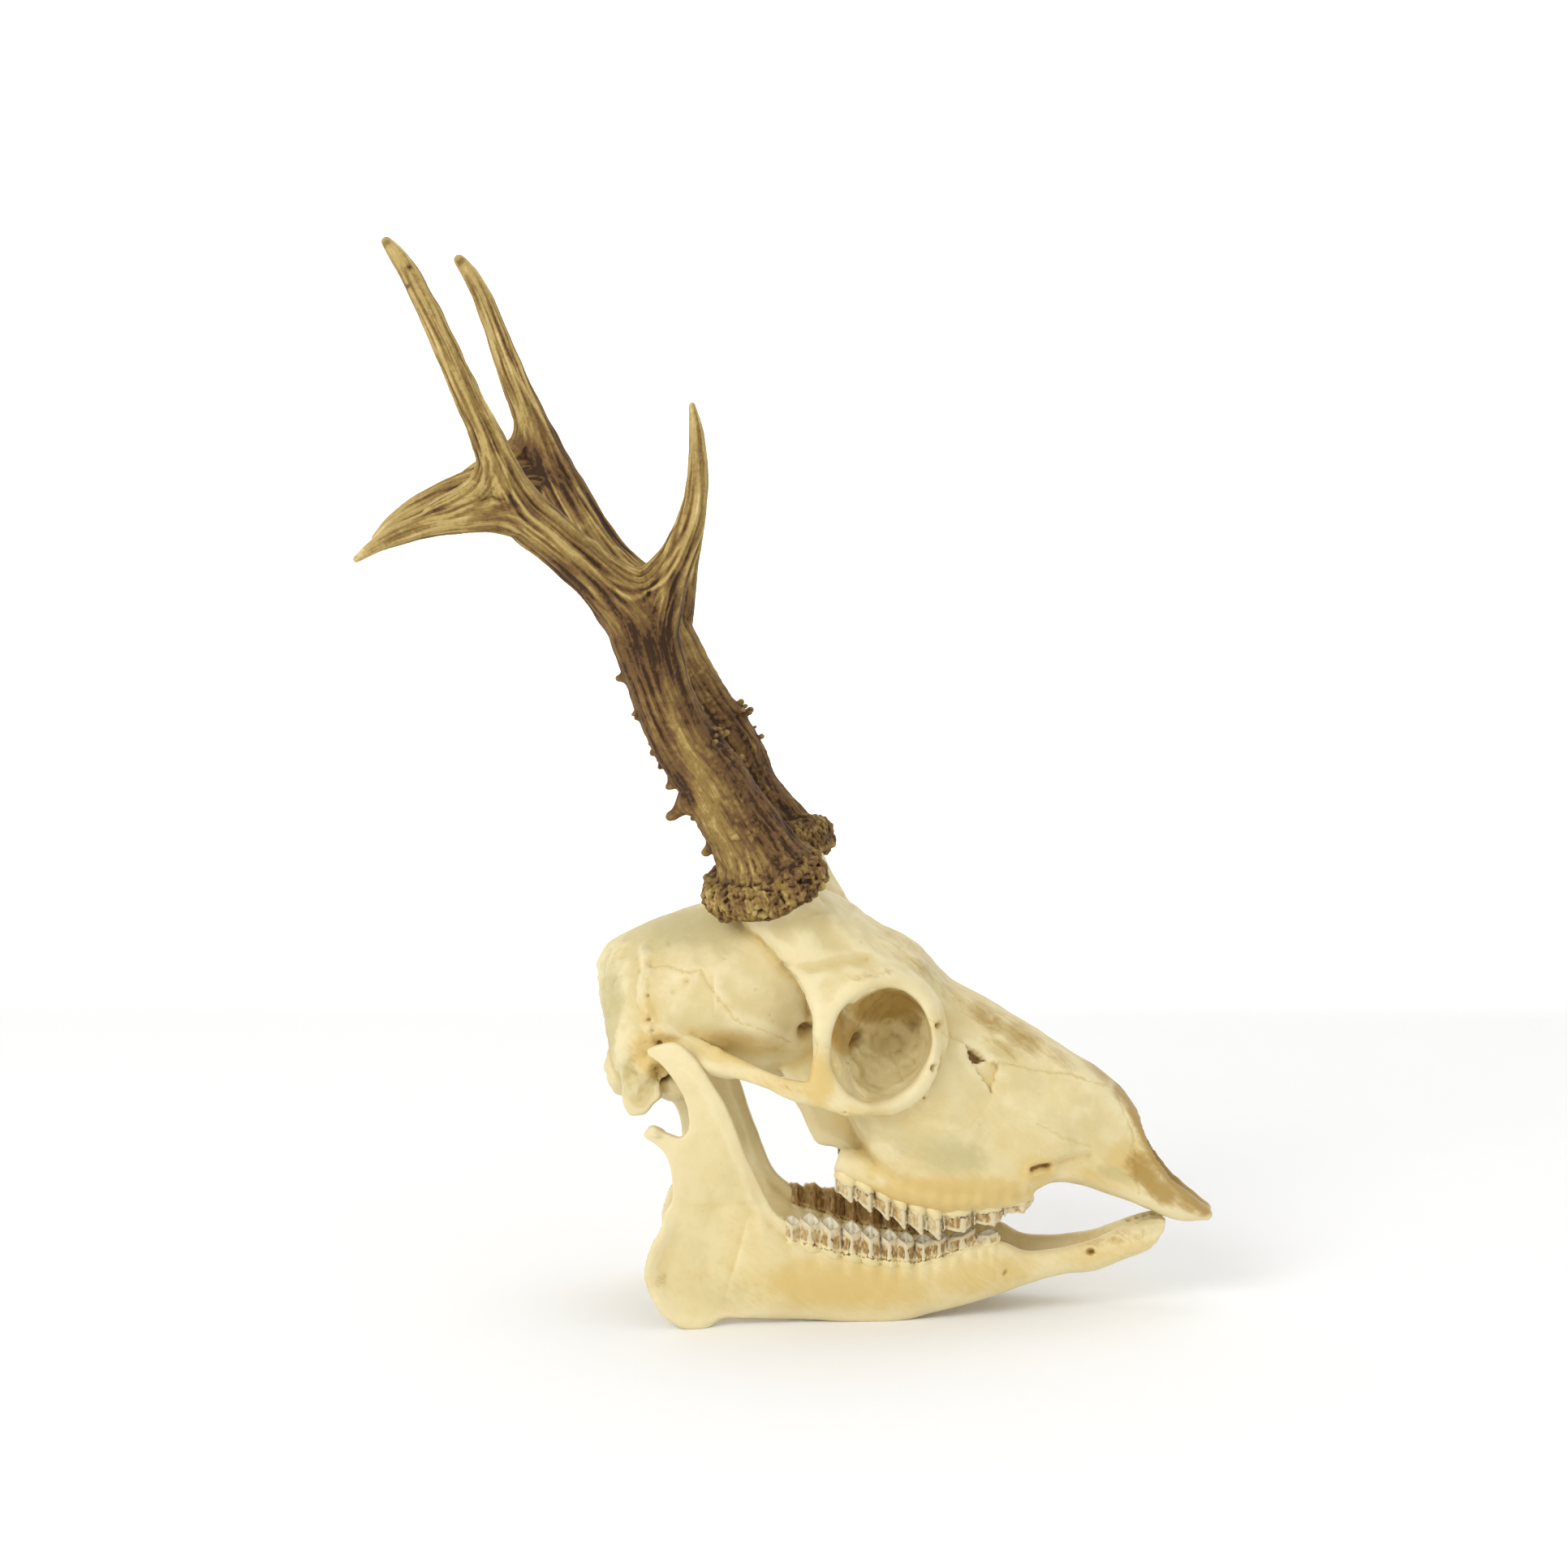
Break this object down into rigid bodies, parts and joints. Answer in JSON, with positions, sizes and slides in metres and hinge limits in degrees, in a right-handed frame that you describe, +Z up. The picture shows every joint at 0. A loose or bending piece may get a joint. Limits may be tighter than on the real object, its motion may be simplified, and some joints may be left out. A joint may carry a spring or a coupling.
{
  "type": "roe deer skull",
  "caption": "Skull of a roe buck with forked antlers and its lower jaw, held together in side pose and standing on the lower jaw.",
  "frame": {"origin": "on the ground, under the middle of the bounding box", "axes": "+X towards the nose, +Y to the animal's left, +Z up; the mid plane of the skull is y = 0"},
  "size_m": [0.2671, 0.1115, 0.3261],
  "materials": {
    "skull_bone": "clean dry bone, pale cream with ochre and olive brown staining",
    "jaw_bone": "clean dry bone, cream, a little yellower than the skull",
    "antler": "grooved antler, dark brown in the grooves, straw on the ridges and pale at the tips"
  },
  "bodies": {
    "root": {"cranium": "skull_bone", "mandible_right": "jaw_bone", "mandible_left": "jaw_bone", "antler_right_beam": "antler", "antler_right_upper_beam": "antler", "antler_right_front_tine": "antler", "antler_right_rear_tine": "antler", "antler_right_top_tine": "antler", "antler_left_beam": "antler", "antler_left_upper_beam": "antler", "antler_left_front_tine": "antler", "antler_left_rear_tine": "antler", "antler_left_top_tine": "antler"}
  },
  "joints": []
}
